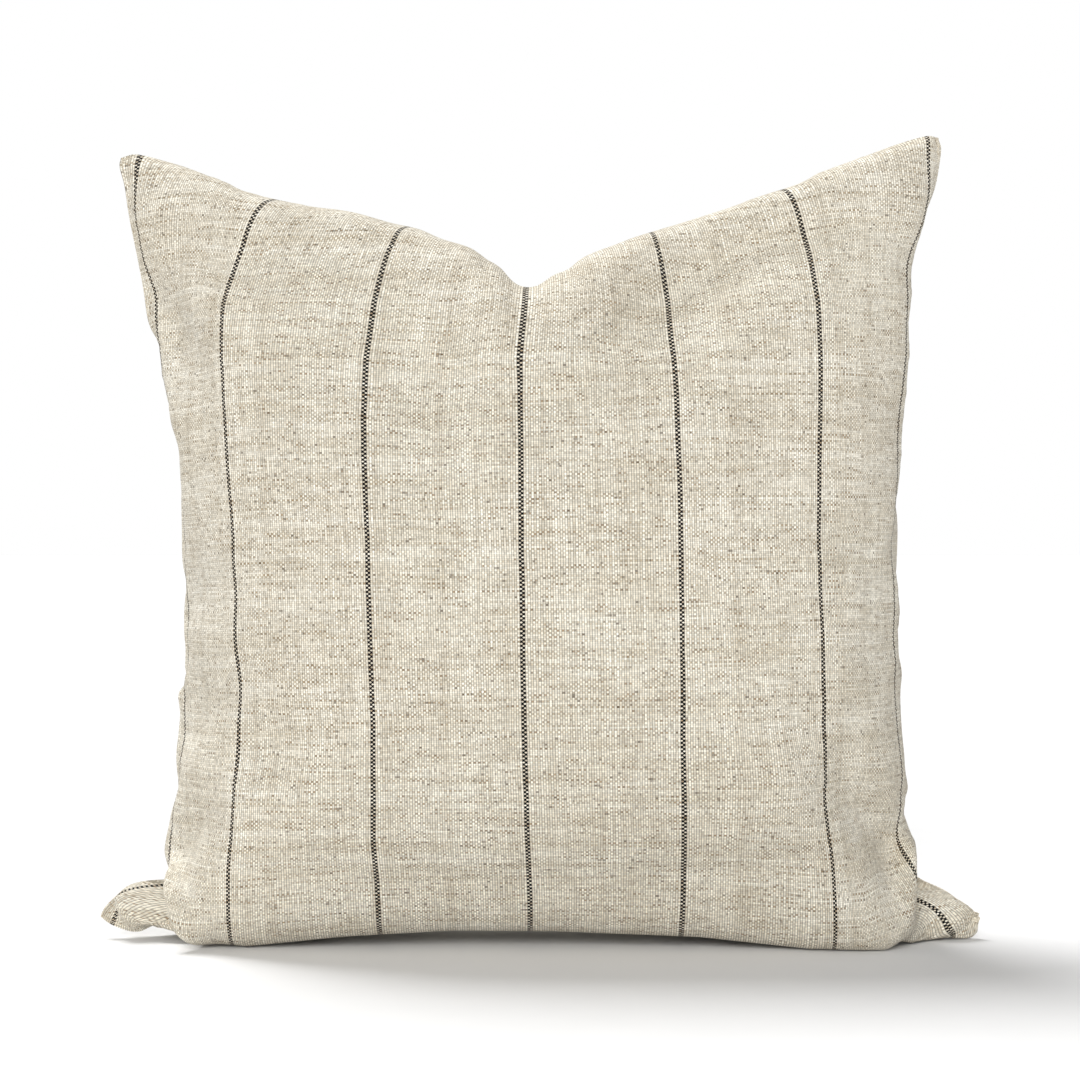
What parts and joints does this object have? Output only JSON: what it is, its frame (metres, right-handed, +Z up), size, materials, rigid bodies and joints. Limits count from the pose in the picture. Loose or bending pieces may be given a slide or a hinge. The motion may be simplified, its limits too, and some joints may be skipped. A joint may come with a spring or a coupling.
{
  "type": "throw pillow",
  "caption": "Square knife-edge throw pillow standing upright: pinstriped linen-look cover, hidden zipper in the bottom seam, and a feather insert.",
  "frame": {"origin": "on the floor under the middle of the pillow", "axes": "+X to the pillow's right as seen from the front, -Y out of its front, +Z up"},
  "size_m": [0.502, 0.1946, 0.466],
  "materials": {
    "linen_cover": "matte oatmeal plain weave with fine black pinstripes",
    "sewing_thread": "matte oatmeal polyester thread",
    "zipper_tape": "matte woven tape",
    "zipper_teeth": "satin nylon",
    "zipper_metal": "satin antique brass",
    "insert_ticking": "matte tightly woven cotton",
    "feathers": "matte feather and down"
  },
  "bodies": {
    "root": {"cover_front": "linen_cover", "cover_back": "linen_cover", "seam_thread_front": "sewing_thread", "seam_thread_back": "sewing_thread", "zipper_stitching": "sewing_thread", "zipper_tape_front": "zipper_tape", "zipper_tape_back": "zipper_tape", "zipper_teeth_front": "zipper_teeth", "zipper_teeth_back": "zipper_teeth", "zipper_top_stops": "zipper_metal", "zipper_bottom_stop": "zipper_metal", "insert_shell_front": "insert_ticking", "insert_shell_back": "insert_ticking", "insert_piping": "insert_ticking", "feather_fill": "feathers"},
    "slider": {"zipper_slider": "zipper_metal"},
    "pull": {"zipper_pull": "zipper_metal"}
  },
  "joints": [
    {"name": "zipper_slide", "type": "slide", "parent": "root", "child": "slider", "axis": [-1, 0, 0], "range_m": [0, 0.383], "deforming": ["zipper_teeth_front", "zipper_teeth_back"]},
    {"name": "pull_swing", "type": "hinge", "parent": "slider", "child": "pull", "pos_m": [0.191, 0, 0.00725], "axis": [0, -1, 0], "range_deg": [-9, 158]}
  ]
}
